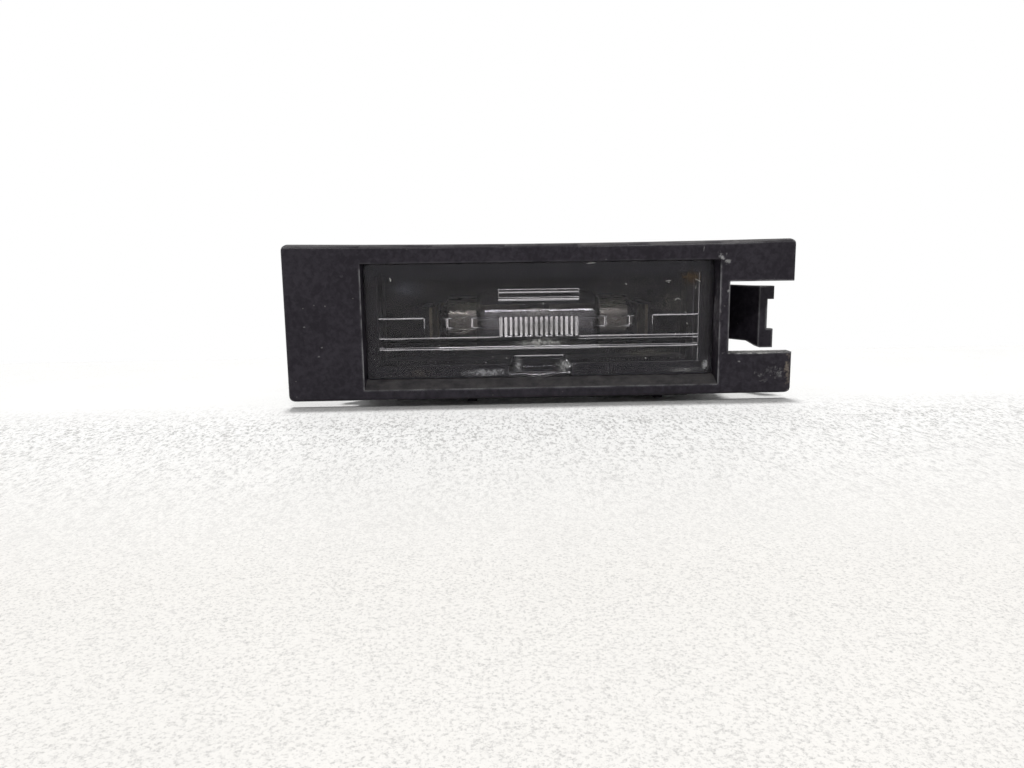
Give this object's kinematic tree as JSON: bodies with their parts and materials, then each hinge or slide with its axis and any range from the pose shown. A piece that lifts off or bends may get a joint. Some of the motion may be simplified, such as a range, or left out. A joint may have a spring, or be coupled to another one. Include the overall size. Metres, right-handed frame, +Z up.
{
  "type": "number plate lamp",
  "caption": "Clip-in number plate lamp: black bezel housing with a long window, clear lens with moulded prisms, festoon bulb and rear bulb holder with plug socket.",
  "frame": {"origin": "middle of the bezel's back face, which lies on the car's panel", "axes": "+X along the lamp towards the notched end, +Y from the lens into the panel, +Z up as the lamp stands"},
  "size_m": [0.085, 0.0326, 0.0274],
  "materials": {
    "housing": "fine moulded texture, worn at the edges",
    "lens": "clear moulded",
    "bulb_holder": "fine moulded texture",
    "holder_gasket": "soft",
    "contacts": "stamped, tarnished",
    "bulb_glass": "clear blown",
    "bulb_caps": "dull nickel plated",
    "bulb_filament": "coiled wire",
    "bulb_leads": "wire",
    "bulb_solder": "soldered"
  },
  "bodies": {
    "root": {"housing": "housing", "lens": "lens", "bulb_holder": "bulb_holder", "holder_gasket": "holder_gasket", "contact_left": "contacts", "contact_right": "contacts", "bulb_glass": "bulb_glass", "bulb_cap_left": "bulb_caps", "bulb_cap_right": "bulb_caps", "bulb_filament": "bulb_filament", "bulb_lead_left": "bulb_leads", "bulb_lead_right": "bulb_leads", "bulb_solder_left": "bulb_solder", "bulb_solder_right": "bulb_solder"}
  },
  "joints": []
}
